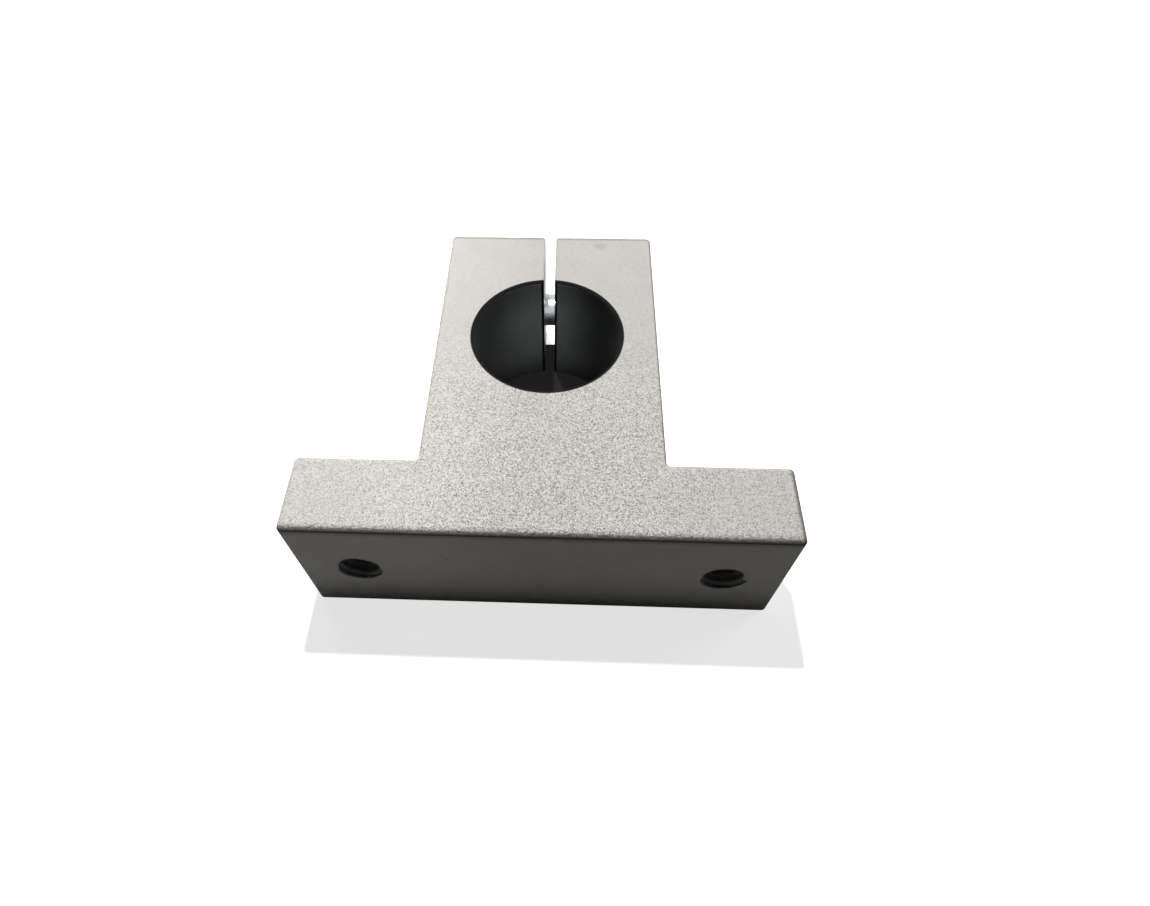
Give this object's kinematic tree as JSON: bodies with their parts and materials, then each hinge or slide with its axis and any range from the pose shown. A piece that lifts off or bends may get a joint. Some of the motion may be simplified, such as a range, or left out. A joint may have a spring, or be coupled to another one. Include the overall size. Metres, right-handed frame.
{
  "type": "shaft support block",
  "caption": "T-shaped metal block on a wide foot, with a slit bore whose two jaws a cross screw draws together to grip a round guide shaft.",
  "frame": {"origin": "middle of the shaft bore, on its axis", "axes": "+Z along the bore out of the front face, +Y from the foot towards the slit top, +X towards the side where the clamp screw goes in; the block lies on its back face"},
  "size_m": [0.06, 0.051, 0.02],
  "materials": {
    "anodised_aluminium": "bead-blasted, then clear anodised",
    "zinc_plated_steel": "bright zinc plated"
  },
  "bodies": {
    "block": {"support_block": "anodised_aluminium"},
    "screw": {"clamp_screw": "zinc_plated_steel"}
  },
  "joints": [
    {"name": "clamp_screw_turn", "type": "hinge", "parent": "block", "child": "screw", "pos_m": [0, 0.0145, 0], "axis": [1, 0, 0], "range_deg": [0, 270]}
  ]
}
